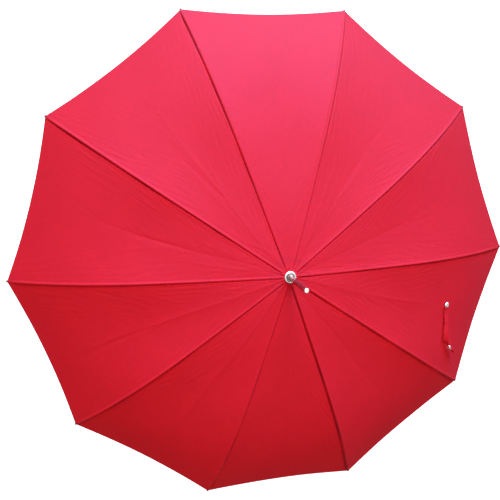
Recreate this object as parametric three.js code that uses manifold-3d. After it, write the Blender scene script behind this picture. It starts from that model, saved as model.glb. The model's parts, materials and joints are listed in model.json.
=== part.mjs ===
// Stick umbrella, open. Millimetres, +Z up the shaft towards the ferrule, origin at the centre of the grip.
// Everything that repeats around the shaft is drawn once in the plane of rib 01, which is the XZ plane, and
// is turned about Z to the other ribs.
import * as THREE from 'three';
import { mergeVertices } from 'three/addons/utils/BufferGeometryUtils.js';
import Module from 'manifold-3d';

const wasm = await Module();
wasm.setup();

// Driving dimensions
const ribCount = 10;
const crownHeight = 650; // the rib pivots above the middle of the grip
const pivotRadius = 9; // rib pivots and stretcher pivots, from the shaft's axis
const innerChord = 240.1; // inner rib, pivot to joint
const outerChord = 295.9; // outer rib, joint to tip
const ribSlopes = [5, 9.5, 36.1]; // degrees below level at the crown, at the joint and at the tip
const bracketDrop = 9; // stretcher pivot below the rib's centre line
const eyeRadius = 2;
const wireRadius = 0.6;
const wireHole = 1;
const pinRadius = 1;
const pinHole = 1.35;
const tongueWidth = 1.6;
const lugWidth = 1.4;
const cheekWidth = 0.9;
const forkGap = 2;
const tongueLength = 7;
const ribBar = { width: 3.4, height: 3 };
const stretcherBar = { width: 3, height: 2.6 };
const rodRadius = 1.5;
const ribTipRadius = 2.4;

const fabric = { rise: 2.7, thickness: 0.8, seamGap: 0.3, innerRadius: 13, hemRadius: 516, hemScallop: 7.5, sag: 6 };
const shaft = { radius: 4, wall: 0.8, bottom: 20, top: crownHeight + 98 };
const hub = { bore: 4.3, slotFloor: 6.3, radius: 11.5, below: 4.5, above: 2, slotWidth: 2.2 };
const sleeve = { radius: 8.5, length: 38 };
const catchNose = { reach: 6.3, height: 8, leaf: [1.4, 2.2], length: 38, width: 1.6, azimuth: 18 };
const topCatchNose = 532.8; // upper face of the nose, just below the raised runner
const bottomCatchNose = 138; // lower face of the nose, in the lowered runner's window
const cap = { base: 3.6, radius: 11, flange: 2.4, coneTop: 16, neck: 5 };
const tip = { radius: 4.4, height: 14, spigot: 2.9, spigotLength: 10, bevel: 1 };
const crook = { radius: 10, bendRadius: 38, bendHeight: -35, top: 60, endHeight: -18 };
const strap = { rib: 8, root: [349.8, -100.2], end: [-290, -274], width: 10, thickness: 1.2, lift: 9 };
const snap = { radius: 6, height: 3, gap: 0.4 };

const gore = 2 * Math.PI / ribCount;
const halfGore = gore / 2;
const tanHalf = Math.tan(halfGore);

// Rib curve: two arcs in the plane of the rib, which share their slope at the joint
const [crownSlope, jointSlope, tipSlope] = ribSlopes.map(THREE.MathUtils.degToRad);
const innerRadius = innerChord / (2 * Math.sin((jointSlope - crownSlope) / 2));
const outerRadius = outerChord / (2 * Math.sin((tipSlope - jointSlope) / 2));
const crownPivot = new THREE.Vector2(pivotRadius, crownHeight);

function arcPoint(start, radius, slope0, slope) {
  return new THREE.Vector2(
    start.x + radius * (Math.sin(slope) - Math.sin(slope0)),
    start.y + radius * (Math.cos(slope) - Math.cos(slope0)),
  );
}

const ribJoint = arcPoint(crownPivot, innerRadius, crownSlope, jointSlope);
const ribTip = arcPoint(ribJoint, outerRadius, jointSlope, tipSlope);
const bracketPivot = new THREE.Vector2(
  ribJoint.x - bracketDrop * Math.sin(jointSlope),
  ribJoint.y - bracketDrop * Math.cos(jointSlope),
);
// The stretcher is as long as the rib from crown to bracket, so the runner travels straight along the shaft.
const runnerPivot = new THREE.Vector2(pivotRadius, 2 * bracketPivot.y - crownHeight);

// Height of the rib's centre line at a distance from the shaft
function ribHeight(x) {
  const inner = x < ribJoint.x;
  const start = inner ? crownPivot : ribJoint;
  const radius = inner ? innerRadius : outerRadius;
  const slope0 = inner ? crownSlope : jointSlope;
  const sine = Math.sin(slope0) + (x - start.x) / radius;
  return start.y + radius * (Math.sqrt(1 - sine * sine) - Math.cos(slope0));
}

// Solids

function solid(geometry) {
  const bare = geometry.clone();
  bare.deleteAttribute('normal');
  bare.deleteAttribute('uv');
  const merged = mergeVertices(bare, 1e-4);
  const index = merged.index.array;
  const triVerts = [];
  for (let i = 0; i < index.length; i += 3) {
    const [a, b, c] = [index[i], index[i + 1], index[i + 2]];
    if (a !== b && b !== c && c !== a) triVerts.push(a, b, c);
  }
  const vertProperties = new Float32Array(merged.attributes.position.array);
  return new wasm.Manifold(new wasm.Mesh({ numProp: 3, vertProperties, triVerts: new Uint32Array(triVerts) }));
}

function join(...solids) {
  return solids.reduce((all, one) => all.add(one));
}

function geometryOf(body) {
  const { vertProperties, triVerts } = body.getMesh();
  const geometry = new THREE.BufferGeometry();
  geometry.setAttribute('position', new THREE.BufferAttribute(new Float32Array(vertProperties), 3));
  geometry.setIndex(Array.from(triVerts));
  geometry.computeVertexNormals();
  return geometry;
}

// A plate in the plane of the rib, centred on it, or with one face at `from`
function plate(shape, width, from = -width / 2) {
  const geometry = new THREE.ExtrudeGeometry(shape, { depth: width, bevelEnabled: false, curveSegments: 3 });
  geometry.rotateX(Math.PI / 2);
  geometry.translate(0, from + width, 0);
  return solid(geometry);
}

// A ring or a plug turned about Z, from points [radius, height] with the material on the left as they go
function turned(points, height = 0, segments = 20) {
  const geometry = new THREE.LatheGeometry(points.map(([r, z]) => new THREE.Vector2(r, z + height)), segments);
  geometry.rotateX(Math.PI / 2);
  return solid(geometry);
}

function box(x0, x1, width, z0, z1, azimuth = 0) {
  const geometry = new THREE.BoxGeometry(x1 - x0, width, z1 - z0);
  geometry.translate((x0 + x1) / 2, 0, (z0 + z1) / 2);
  geometry.rotateZ(azimuth);
  return solid(geometry);
}

// A pin across the plane of the rib
function pin(centre, radius, length) {
  const geometry = new THREE.CylinderGeometry(radius, radius, length, 6);
  geometry.translate(centre.x, 0, centre.y);
  return solid(geometry);
}

// An eye of a link: a round end about `centre`, straight sides along `direction`, and an optional hole
function eyeShape(centre, direction, length, halfWidth, hole) {
  const angle = Math.atan2(direction.y, direction.x);
  const at = (along, across) => new THREE.Vector2(
    centre.x + along * Math.cos(angle) - across * Math.sin(angle),
    centre.y + along * Math.sin(angle) + across * Math.cos(angle),
  );
  const shape = new THREE.Shape();
  shape.absarc(centre.x, centre.y, eyeRadius, angle + Math.PI / 2, angle + 3 * Math.PI / 2, false);
  shape.lineTo(...at(length, -halfWidth));
  shape.lineTo(...at(length, halfWidth));
  shape.closePath();
  if (hole) {
    const ring = new THREE.Path();
    ring.absarc(centre.x, centre.y, hole, 0, 2 * Math.PI, true);
    shape.holes.push(ring);
  }
  return shape;
}

// Two cheeks with a pin through them
function fork(centre, direction, length) {
  const shape = eyeShape(centre, direction, length, eyeRadius - 0.4);
  return join(
    plate(shape, cheekWidth, forkGap / 2),
    plate(shape, cheekWidth, -forkGap / 2 - cheekWidth),
    pin(centre, pinRadius, forkGap + 2 * cheekWidth),
  );
}

// A bar of constant height along a line of centre points
function barShape(centres, height) {
  const normals = centres.map((_, i) => {
    const before = centres[Math.max(i - 1, 0)];
    const after = centres[Math.min(i + 1, centres.length - 1)];
    const along = after.clone().sub(before).normalize();
    return new THREE.Vector2(-along.y, along.x).multiplyScalar(height / 2);
  });
  const upper = centres.map((p, i) => p.clone().add(normals[i]));
  const lower = centres.map((p, i) => p.clone().sub(normals[i])).reverse();
  return new THREE.Shape([...lower, ...upper]);
}

// Ribs

const forkReach = tongueLength + 1.5;
const jointDirection = new THREE.Vector2(-Math.cos(jointSlope), Math.sin(jointSlope));

function innerRib() {
  const first = crownSlope + (tongueLength - 0.5) / innerRadius;
  const last = jointSlope - tongueLength / innerRadius;
  const steps = 5;
  const centres = Array.from({ length: steps + 1 }, (_, i) => (
    arcPoint(crownPivot, innerRadius, crownSlope, first + (last - first) * i / steps)
  ));
  const outward = new THREE.Vector2(Math.cos(crownSlope), -Math.sin(crownSlope));
  const tongue = eyeShape(crownPivot, outward, forkReach, ribBar.height / 2, wireHole);
  const along = (distance, drop) => new THREE.Vector2(
    ribJoint.x - distance * Math.cos(jointSlope) - drop * Math.sin(jointSlope),
    ribJoint.y + distance * Math.sin(jointSlope) - drop * Math.cos(jointSlope),
  );
  const lug = new THREE.Shape([along(14, 0.5), along(1.2, bracketDrop + 1.6), along(-1.6, bracketDrop + 1.2),
    along(-1.4, bracketDrop - 1.4), along(7, 0.5)]);
  const lugHole = new THREE.Path();
  lugHole.absarc(bracketPivot.x, bracketPivot.y, pinHole, 0, 2 * Math.PI, true);
  lug.holes.push(lugHole);
  return join(
    plate(tongue, tongueWidth),
    plate(barShape(centres, ribBar.height), ribBar.width),
    fork(ribJoint, jointDirection, forkReach),
    plate(lug, lugWidth),
  );
}

class RibArc extends THREE.Curve {
  getPoint(t) {
    const first = jointSlope + tongueLength / outerRadius;
    const p = arcPoint(ribJoint, outerRadius, jointSlope, first + (tipSlope - first) * t);
    return new THREE.Vector3(p.x, 0, p.y);
  }
}

function outerRib() {
  const section = new THREE.Shape().absarc(0, 0, rodRadius, 0, 2 * Math.PI, false);
  const rod = new THREE.ExtrudeGeometry(section, { steps: 9, curveSegments: 3, extrudePath: new RibArc() });
  const ball = new THREE.SphereGeometry(ribTipRadius, 8, 5);
  ball.translate(ribTip.x, 0, ribTip.y);
  const outward = jointDirection.clone().negate();
  return join(
    plate(eyeShape(ribJoint, outward, forkReach, rodRadius - 0.2, pinHole), lugWidth),
    solid(rod),
    solid(ball),
  );
}

// Stretcher: a fork on the rib's bracket, a bar, and a tongue in the runner's head
function stretcher() {
  const length = bracketPivot.distanceTo(runnerPivot);
  const inward = runnerPivot.clone().sub(bracketPivot).normalize();
  const at = (distance) => bracketPivot.clone().addScaledVector(inward, distance);
  const bar = barShape([at(tongueLength), at(length - tongueLength)], stretcherBar.height);
  const tongue = eyeShape(runnerPivot, inward.clone().negate(), forkReach, stretcherBar.height / 2, wireHole);
  return join(fork(bracketPivot, inward, forkReach), plate(bar, stretcherBar.width), plate(tongue, tongueWidth));
}

// Canopy: straight chords between neighbouring ribs, sagging a little, with a hem that curves in between ribs.
// A panel here is the cloth nearest to one rib: x runs out along the rib and v across it, from -1 to 1 at the
// middles of the two gores beside it.
function chordShare(v) {
  const sine = Math.sin(halfGore) ** 2;
  return Math.abs(v) / (2 * (1 - sine + Math.abs(v) * sine));
}

function fabricHeight(r, share) {
  const sag = fabric.sag * (r / ribTip.x) ** 2 * 4 * share * (1 - share);
  return ribHeight(r) + fabric.rise - sag;
}

function panelPoint(x, v) {
  const side = v * (x * tanHalf - fabric.seamGap / 2);
  const r = x + Math.abs(side) * tanHalf;
  return new THREE.Vector3(x, side, fabricHeight(r, chordShare(v)));
}

function hemX(v) {
  const share = chordShare(v);
  const r = fabric.hemRadius - fabric.hemScallop * 4 * share * (1 - share);
  return r / (1 + Math.abs(v) * tanHalf ** 2);
}

// A closed sheet of cloth: a lower and an upper grid, joined by a rim
function panel(xStart, xEnd, uSteps, vSteps) {
  const positions = [];
  for (const lift of [0, fabric.thickness]) {
    for (let i = 0; i <= uSteps; i++) {
      for (let j = 0; j <= vSteps; j++) {
        const v = 2 * j / vSteps - 1;
        const p = panelPoint(xStart + (xEnd(v) - xStart) * i / uSteps, v);
        positions.push(p.x, p.y, p.z + lift);
      }
    }
  }
  const row = vSteps + 1;
  const layer = row * (uSteps + 1);
  const index = [];
  const quad = (a, b, c, d) => index.push(a, b, c, a, c, d);
  for (let i = 0; i < uSteps; i++) {
    for (let j = 0; j < vSteps; j++) {
      const a = i * row + j;
      quad(a, a + 1, a + row + 1, a + row);
      quad(layer + a, layer + a + row, layer + a + row + 1, layer + a + 1);
    }
    const left = i * row;
    const right = left + vSteps;
    quad(left, left + row, left + row + layer, left + layer);
    quad(right + row, right, right + layer, right + row + layer);
  }
  for (let j = 0; j < vSteps; j++) {
    const far = uSteps * row + j;
    quad(j + 1, j, j + layer, j + 1 + layer);
    quad(far, far + 1, far + 1 + layer, far + layer);
  }
  const geometry = new THREE.BufferGeometry();
  geometry.setAttribute('position', new THREE.Float32BufferAttribute(positions, 3));
  geometry.setIndex(index);
  return solid(geometry);
}

const innerPanelEnd = ribJoint.x - fabric.seamGap / 2;
const outerPanelStart = ribJoint.x + fabric.seamGap / 2;

// Crown and runner head: a ring with a slot for each link, and a wire across each slot
function notchedHub(outline, height) {
  let body = turned(outline, height);
  for (let i = 0; i < ribCount; i++) {
    body = body.subtract(box(hub.slotFloor, hub.radius + 2, hub.slotWidth, height - hub.below - 0.01,
      height + hub.above + 1, i * gore));
  }
  for (let i = 0; i < ribCount; i++) {
    const wire = new THREE.CylinderGeometry(wireRadius, wireRadius, hub.slotWidth + 1.2, 6);
    wire.translate(pivotRadius, 0, height);
    wire.rotateZ(i * gore);
    body = body.add(solid(wire));
  }
  return body;
}

function crown() {
  const outline = [[hub.bore, -hub.below], [hub.radius, -hub.below], [hub.radius, hub.above],
    [hub.bore, hub.above], [hub.bore, -hub.below]];
  return notchedHub(outline, crownHeight);
}

const noseAzimuth = THREE.MathUtils.degToRad(catchNose.azimuth);
const closedDrop = 78; // degrees that the ribs turn down to close
const bracketAngle = Math.atan2(crownHeight - bracketPivot.y, bracketPivot.x - pivotRadius);
const loweredRunner = crownHeight - 2 * bracketPivot.distanceTo(crownPivot)
  * Math.sin(bracketAngle + THREE.MathUtils.degToRad(closedDrop));

function runner() {
  const outline = [[hub.bore, -sleeve.length], [sleeve.radius, -sleeve.length], [sleeve.radius, -hub.below],
    [hub.radius, -hub.below], [hub.radius, hub.above], [hub.bore, hub.above], [hub.bore, -sleeve.length]];
  const height = runnerPivot.y;
  const windowBottom = height + bottomCatchNose - loweredRunner - 1.5;
  const windowTop = windowBottom + catchNose.height + 3;
  const window = box(hub.bore - 1, sleeve.radius + 1, catchNose.width + 1, windowBottom, windowTop, noseAzimuth);
  return notchedHub(outline, height).subtract(window);
}

// Spring catches: a leaf inside the shaft with a nose that is flat on one side and sloped on the other
function catchSpring(noseFace, direction) {
  const [inner, outer] = catchNose.leaf;
  const z = (distance) => noseFace - direction * distance;
  const shape = new THREE.Shape([[inner, z(0)], [catchNose.reach, z(0)], [catchNose.reach, z(1.5)],
    [outer, z(catchNose.height)], [outer, z(catchNose.length)], [inner, z(catchNose.length)],
  ].map(([x, y]) => new THREE.Vector2(x, y)));
  return plate(shape, catchNose.width);
}

// Shaft and its ends

function shaftTube() {
  const inner = shaft.radius - shaft.wall;
  let tube = turned([[inner, shaft.bottom], [shaft.radius, shaft.bottom], [shaft.radius, shaft.top],
    [inner, shaft.top], [inner, shaft.bottom]]);
  for (const [face, direction] of [[topCatchNose, 1], [bottomCatchNose, -1]]) {
    const ends = [face + 0.6 * direction, face - (catchNose.height + 0.6) * direction].sort((a, b) => a - b);
    tube = tube.subtract(box(inner - 0.8, shaft.radius + 1, catchNose.width + 0.8, ends[0], ends[1], noseAzimuth));
  }
  return tube;
}

function ferruleCap() {
  return turned([[hub.bore, cap.base], [cap.radius - 0.6, cap.base], [cap.radius, cap.base + 0.6],
    [cap.radius, cap.base + cap.flange - 0.8], [cap.radius - 0.8, cap.base + cap.flange],
    [cap.radius - 2.2, cap.base + cap.flange + 0.4], [cap.neck + 1.4, cap.coneTop - 4],
    [cap.neck, cap.coneTop], [hub.bore, cap.coneTop], [hub.bore, cap.base]], crownHeight, 24);
}

function ferruleTip() {
  const top = tip.height;
  return turned([[0, -tip.spigotLength], [tip.spigot, -tip.spigotLength], [tip.spigot, 0.3], [tip.radius, 0.3],
    [tip.radius, top - tip.bevel], [tip.radius - tip.bevel, top], [0, top]], shaft.top);
}

// Crook: down the shaft's axis, half a circle towards +X, and a short way up again
class CrookCurve extends THREE.Curve {
  getPoint(t) {
    const straight = crook.top - crook.bendHeight;
    const arc = Math.PI * crook.bendRadius;
    const rise = crook.endHeight - crook.bendHeight;
    const s = t * (straight + arc + rise);
    if (s < straight) return new THREE.Vector3(0, 0, crook.top - s);
    const angle = Math.min((s - straight) / crook.bendRadius, Math.PI);
    const up = Math.max(s - straight - arc, 0);
    return new THREE.Vector3(
      crook.bendRadius * (1 - Math.cos(angle)),
      0,
      crook.bendHeight - crook.bendRadius * Math.sin(angle) + up,
    );
  }
}

function handle() {
  const section = new THREE.Shape().absarc(0, 0, crook.radius, 0, 2 * Math.PI, false);
  const bar = new THREE.ExtrudeGeometry(section, { steps: 26, curveSegments: 7, extrudePath: new CrookCurve() });
  const bore = new THREE.CylinderGeometry(hub.bore, hub.bore, crook.top - shaft.bottom + 2, 20);
  bore.rotateX(Math.PI / 2);
  bore.translate(0, 0, (crook.top + shaft.bottom + 1) / 2);
  return solid(bar).subtract(solid(bore));
}

// Tie strap: sewn to the cloth at its root, lifted off the cloth along its length, snap halves at both ends

const strapAzimuth = (strap.rib - 1) * gore;

function cloth(point) {
  const angle = Math.atan2(point.y, point.x);
  const near = Math.round(angle / gore) * gore;
  const x = point.x * Math.cos(near) + point.y * Math.sin(near);
  const side = Math.abs(-point.x * Math.sin(near) + point.y * Math.cos(near));
  const r = x + side * tanHalf;
  return fabricHeight(r, side / (r * Math.sin(gore))) + fabric.thickness;
}

function clothNormal(point) {
  const step = 1;
  const slopeX = cloth({ x: point.x + step, y: point.y }) - cloth({ x: point.x - step, y: point.y });
  const slopeY = cloth({ x: point.x, y: point.y + step }) - cloth({ x: point.x, y: point.y - step });
  return new THREE.Vector3(-slopeX / (2 * step), -slopeY / (2 * step), 1).normalize();
}

const strapRoot = new THREE.Vector2(...strap.root).rotateAround(new THREE.Vector2(), strapAzimuth);
const strapEnd = new THREE.Vector2(...strap.end);

// A place along the strap, with the cloth's normal there and the direction across the strap
function strapFrame(t) {
  const length = strapRoot.distanceTo(strapEnd);
  const start = (snap.radius + snap.gap) / length;
  const p = strapRoot.clone().lerp(strapEnd, start + (1 - start) * t);
  const normal = clothNormal(p);
  const run = new THREE.Vector3(strapEnd.x - strapRoot.x, strapEnd.y - strapRoot.y, 0);
  const across = normal.clone().cross(run).normalize();
  const lift = 1.2 + strap.lift * Math.sin(Math.PI * 0.6 * t);
  return { centre: new THREE.Vector3(p.x, p.y, cloth(p)).addScaledVector(normal, lift), normal, across };
}

function disc(radius, height, foot, normal) {
  const geometry = new THREE.CylinderGeometry(radius * 0.7, radius, height, 14);
  geometry.translate(0, height / 2, 0);
  geometry.applyQuaternion(new THREE.Quaternion().setFromUnitVectors(new THREE.Vector3(0, 1, 0), normal));
  geometry.translate(foot.x, foot.y, foot.z);
  return solid(geometry);
}

function strapSnap() {
  const normal = clothNormal(strapRoot);
  const foot = new THREE.Vector3(strapRoot.x, strapRoot.y, cloth(strapRoot)).addScaledVector(normal, snap.gap);
  return disc(snap.radius, snap.height, foot, normal);
}

function tieStrap() {
  const steps = 10;
  const corners = [[-1, -1], [1, -1], [1, 1], [-1, 1]];
  const positions = [];
  const index = [0, 3, 2, 0, 2, 1];
  for (let i = 0; i <= steps; i++) {
    const { centre, normal, across } = strapFrame(i / steps);
    for (const [side, face] of corners) {
      const corner = centre.clone().addScaledVector(across, side * strap.width / 2);
      positions.push(...corner.addScaledVector(normal, face * strap.thickness / 2));
    }
    for (let k = 0; i < steps && k < 4; k++) {
      const [a, b] = [4 * i + k, 4 * i + (k + 1) % 4];
      index.push(a, b, b + 4, a, b + 4, a + 4);
    }
  }
  const last = 4 * steps;
  index.push(last, last + 1, last + 2, last, last + 2, last + 3);
  const band = new THREE.BufferGeometry();
  band.setAttribute('position', new THREE.Float32BufferAttribute(positions, 3));
  band.setIndex(index);
  const { centre, normal } = strapFrame(0.93);
  return join(solid(band), disc(snap.radius - 0.5, snap.height, centre, normal));
}

// Assembly

function finish(color, roughness, metalness) {
  return { color, roughness, metalness };
}

const redCloth = finish('#d3263c', 0.7, 0);
const chrome = finish('#dddddf', 0.08, 1);
const polishedSteel = finish('#b9babd', 0.15, 1);
const blackEnamel = finish('#17171a', 0.4, 0.3);
const springSteel = finish('#8b8d90', 0.3, 1);
const blackNylon = finish('#141416', 0.5, 0);
const stainedWood = finish('#5a2f1c', 0.35, 0);

const group = new THREE.Group();

function add(name, body, look, azimuth = 0) {
  const mesh = new THREE.Mesh(geometryOf(body), new THREE.MeshStandardMaterial(look));
  mesh.name = name;
  mesh.rotation.z = azimuth;
  group.add(mesh);
}

add('shaft', shaftTube(), polishedSteel);
add('crown', crown(), blackNylon);
add('ferrule_cap', ferruleCap(), chrome);
add('ferrule_tip', ferruleTip(), chrome);
add('handle', handle(), stainedWood);
add('runner', runner(), blackNylon);
add('top_catch', catchSpring(topCatchNose, 1), springSteel, noseAzimuth);
add('bottom_catch', catchSpring(bottomCatchNose, -1), springSteel, noseAzimuth);

const repeated = [
  ['rib_inner', innerRib(), blackEnamel],
  ['rib_outer', outerRib(), blackEnamel],
  ['stretcher', stretcher(), blackEnamel],
  ['canopy_inner', panel(fabric.innerRadius, () => innerPanelEnd, 3, 4), redCloth],
  ['canopy_outer', panel(outerPanelStart, hemX, 7, 6), redCloth],
];
for (const [name, body, look] of repeated) {
  for (let i = 0; i < ribCount; i++) {
    add(`${name}_${String(i + 1).padStart(2, '0')}`, body, look, i * gore);
  }
}

add('strap_snap', strapSnap(), chrome);
add('tie_strap', tieStrap(), redCloth);

export default group;
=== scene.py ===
import json
import math

import bpy
import numpy as np
from mathutils import Matrix, Vector


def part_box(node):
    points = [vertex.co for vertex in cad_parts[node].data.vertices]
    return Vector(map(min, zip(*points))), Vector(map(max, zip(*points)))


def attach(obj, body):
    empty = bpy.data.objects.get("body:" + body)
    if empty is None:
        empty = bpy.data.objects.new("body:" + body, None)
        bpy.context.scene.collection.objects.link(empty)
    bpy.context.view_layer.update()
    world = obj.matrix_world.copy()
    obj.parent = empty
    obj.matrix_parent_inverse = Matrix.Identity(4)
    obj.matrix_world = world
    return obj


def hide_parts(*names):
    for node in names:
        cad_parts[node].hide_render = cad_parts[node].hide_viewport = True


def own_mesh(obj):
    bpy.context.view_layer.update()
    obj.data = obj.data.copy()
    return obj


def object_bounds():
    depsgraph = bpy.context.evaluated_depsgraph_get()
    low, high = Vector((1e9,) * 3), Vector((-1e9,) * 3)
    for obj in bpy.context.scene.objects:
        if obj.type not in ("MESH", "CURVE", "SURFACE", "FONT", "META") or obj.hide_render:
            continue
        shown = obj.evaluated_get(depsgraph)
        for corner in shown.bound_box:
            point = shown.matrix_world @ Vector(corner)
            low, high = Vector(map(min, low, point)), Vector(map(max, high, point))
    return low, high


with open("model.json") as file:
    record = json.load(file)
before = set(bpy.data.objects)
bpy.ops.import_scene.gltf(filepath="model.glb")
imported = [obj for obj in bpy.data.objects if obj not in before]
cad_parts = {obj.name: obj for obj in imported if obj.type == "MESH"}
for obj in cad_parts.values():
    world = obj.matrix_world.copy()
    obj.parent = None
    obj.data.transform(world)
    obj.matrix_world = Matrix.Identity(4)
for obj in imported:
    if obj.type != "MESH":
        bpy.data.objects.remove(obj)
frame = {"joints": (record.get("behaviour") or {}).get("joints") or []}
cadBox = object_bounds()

mm = 0.001
joints = {joint["name"]: joint for joint in frame["joints"]}


def jointPlace(name):
    return np.array(joints[name]["pos_m"]) / mm


# Everything below is in millimetres until addPiece puts it into a mesh.
ribCount = 10
gore = 2 * math.pi / ribCount
halfGore = gore / 2
tanHalf = math.tan(halfGore)
crownPivot = jointPlace("fold")
ribJoint = jointPlace("rib_flex_01")
bracketPivot = jointPlace("stretcher_hinge_01")
runnerPivot = jointPlace("runner_hinge")
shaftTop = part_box("shaft")[1].z / mm
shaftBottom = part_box("shaft")[0].z / mm
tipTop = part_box("ferrule_tip")[1].z / mm
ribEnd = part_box("rib_outer_01")[1].x / mm

# The rib is two arcs that share a tangent at the joint. Slopes are in degrees below level.
ribCurve = {"crownSlope": 5.0, "jointSlope": 9.5, "tipSlope": 36.1, "ballRadius": 2.4}
ribTipX = ribEnd - ribCurve["ballRadius"]
crownSlope, jointSlope, tipSlope = (math.radians(ribCurve[key]) for key in ("crownSlope", "jointSlope", "tipSlope"))
innerRadius = (ribJoint[0] - crownPivot[0]) / (math.sin(jointSlope) - math.sin(crownSlope))
outerRadius = (ribTipX - ribJoint[0]) / (math.sin(tipSlope) - math.sin(jointSlope))


def ribHeight(x):
    # height of the rib's centre line: a circle of the inner radius up to the joint, then of the outer one
    inner = np.sin(crownSlope) + (np.minimum(x, ribJoint[0]) - crownPivot[0]) / innerRadius
    outer = np.sin(jointSlope) + (np.maximum(x, ribJoint[0]) - ribJoint[0]) / outerRadius
    innerDrop = innerRadius * (math.cos(crownSlope) - np.sqrt(1 - inner ** 2))
    outerDrop = outerRadius * (math.cos(jointSlope) - np.sqrt(1 - outer ** 2))
    return crownPivot[2] - innerDrop - outerDrop


# ---- meshes ----

def gridQuads(rows, columns, wrap=False, start=0):
    # quads of a grid of rows by columns, whose normals point along (row step) x (column step)
    row = np.arange(rows - 1)[:, None]
    column = np.arange(columns if wrap else columns - 1)[None, :]
    after = (column + 1) % columns
    quads = np.stack([row * columns + column, (row + 1) * columns + column,
                      (row + 1) * columns + after, row * columns + after], axis=-1)
    return quads.reshape(-1, 4) + start


def joined(parts):
    # several (points, quads, triangles) as one
    points, quads, triangles, offset = [], [], [], 0
    for part in parts:
        points.append(part[0])
        quads.append(part[1] + offset)
        triangles.append(part[2] + offset)
        offset += len(part[0])
    return np.concatenate(points), np.concatenate(quads), np.concatenate(triangles)


def between(start, after, offset, flip=False):
    # quads from the edges start-after of one run of points to the same edges of a run `offset` further on
    quads = np.stack([start, after, after + offset, start + offset], axis=-1).reshape(-1, 4)
    return quads[:, ::-1] if flip else quads


def polar(radius, angle, height):
    return np.stack(np.broadcast_arrays(radius * np.cos(angle), radius * np.sin(angle), height), axis=-1)


noTriangles = np.zeros((0, 3), int)


def turned(profile, segments=64, centre=(0, 0, 0), axis=(0, 0, 1)):
    # a profile of (radius, height) turned about the axis; a radius of nought is a pole, and a profile that
    # ends where it starts is a ring
    profile = np.array(profile, float)
    ring = np.allclose(profile[0], profile[-1])
    if ring:
        profile = profile[:-1]
    angles = np.arange(segments) * 2 * math.pi / segments
    frameOf = Vector(axis).to_track_quat("Z", "Y").to_matrix()
    poles = [index for index in (0, len(profile) - 1) if profile[index, 0] < 1e-6 and not ring]
    body = profile[[index for index in range(len(profile)) if index not in poles]]
    points = polar(body[:, :1], angles, body[:, 1:]).reshape(-1, 3)
    quads = gridQuads(len(body) + ring, segments, wrap=True) % len(points)
    triangles = [noTriangles]
    around = np.arange(segments)
    for pole in poles:
        last = len(points)
        first = 0 if pole == 0 else (len(body) - 1) * segments
        points = np.vstack([points, [0, 0, profile[pole, 1]]])
        fan = np.stack([first + around, first + (around + 1) % segments, np.full(segments, last)], axis=-1)
        triangles.append(fan if pole == 0 else fan[:, ::-1])
    points = points @ np.array(frameOf).T + np.array(centre, float)
    return points, quads[:, ::-1], np.concatenate(triangles)[:, ::-1]


def sideAndUp(path, side, twist=0.0):
    # the two directions across a path at each of its points, turned about it by the twist
    along = np.gradient(path, axis=0)
    along /= np.linalg.norm(along, axis=1, keepdims=True)
    side = np.broadcast_to(np.array(side, float), path.shape)
    side = side - (side * along).sum(1, keepdims=True) * along
    side = side / np.linalg.norm(side, axis=1, keepdims=True)
    up = np.cross(along, side)
    turn = np.broadcast_to(np.array(twist, float), len(path))[:, None]
    return side * np.cos(turn) + up * np.sin(turn), up * np.cos(turn) - side * np.sin(turn)


def swept(path, section, side=(0, 1, 0), sizes=1.0, twist=0.0):
    # a section carried along a path. The section is two matching rows of points (along the side, along the
    # up direction), which together go round it, so that its ends close with quads between the rows.
    path = np.array(path, float)
    upper, lower = (np.array(half, float) for half in section)
    outline = np.concatenate([upper, lower[::-1]])
    side, up = sideAndUp(path, side, twist)
    sizes = np.array(sizes, float)
    sizes = np.broadcast_to(sizes if sizes.ndim == 2 else sizes.reshape(-1, 1), (len(path), 2))
    points = (path[:, None] + outline[None, :, 0, None] * sizes[:, None, :1] * side[:, None]
              + outline[None, :, 1, None] * sizes[:, None, 1:] * up[:, None])
    count, half, last = len(outline), len(upper), (len(path) - 1) * len(outline)
    quads = gridQuads(len(path), count, wrap=True)
    index = np.arange(half - 1)
    cap = np.stack([index, index + 1, count - 2 - index, count - 1 - index], axis=-1)
    return points.reshape(-1, 3), np.concatenate([quads, cap, last + cap[:, ::-1]]), noTriangles


def roundSection(radius, points=16, squeeze=1.0):
    angles = (np.arange(points // 2) + 0.5) * 2 * math.pi / points
    half = np.stack([radius * np.cos(angles), radius * squeeze * np.sin(angles)], axis=-1)
    return half, half * (1, -1)


def barSection(width, height, corner=0.25):
    w, h = width / 2, height / 2
    half = np.array([(w, 0.01), (w, h - corner), (w - corner, h), (corner - w, h), (-w, h - corner), (-w, 0.01)])
    return half, half * (1, -1)


def channelSection(width, depth, wall):
    # folded sheet: an inverted U with its mouth down
    w, d = width / 2, depth / 2
    turn = 0.5
    outer = np.array([(w, -d), (w, d - turn), (w - turn, d), (turn - w, d), (-w, d - turn), (-w, -d)])
    inner = np.array([(w - wall, -d), (w - wall, d - turn - 0.2), (w - turn - 0.2, d - wall),
                      (turn + 0.2 - w, d - wall), (wall - w, d - turn - 0.2), (wall - w, -d)])
    return outer, inner


def rotatedZ(points, angle):
    cosine, sine = math.cos(angle), math.sin(angle)
    turn = np.array([(cosine, -sine, 0), (sine, cosine, 0), (0, 0, 1)])
    return points @ turn.T


def atRib(shape, rib):
    return rotatedZ(shape[0], rib * gore), shape[1], shape[2]


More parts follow.
